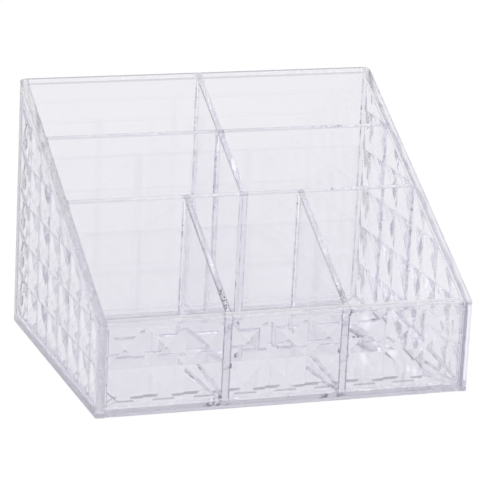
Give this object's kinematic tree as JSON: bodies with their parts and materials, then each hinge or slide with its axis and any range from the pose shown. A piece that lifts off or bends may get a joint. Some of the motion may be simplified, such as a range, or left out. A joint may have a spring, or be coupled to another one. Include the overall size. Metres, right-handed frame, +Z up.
{
  "type": "vanity organizer",
  "caption": "Clear plastic stepped organizer for a dressing table, with open compartments in rows that rise to the back and pyramid facets on its sides and front.",
  "frame": {"origin": "on the table, at the middle of the footprint", "axes": "+X to the right as seen from the front, +Y to the tall back, +Z up"},
  "size_m": [0.24, 0.19, 0.1612],
  "materials": {
    "clear_plastic": "polished, see-through"
  },
  "bodies": {
    "root": {"base_plate": "clear_plastic", "left_side_panel": "clear_plastic", "right_side_panel": "clear_plastic", "front_panel": "clear_plastic", "back_panel": "clear_plastic", "rear_tier_wall": "clear_plastic", "front_tier_wall": "clear_plastic", "rear_row_divider": "clear_plastic", "middle_row_divider": "clear_plastic", "front_left_divider": "clear_plastic", "front_right_divider": "clear_plastic"}
  },
  "joints": []
}
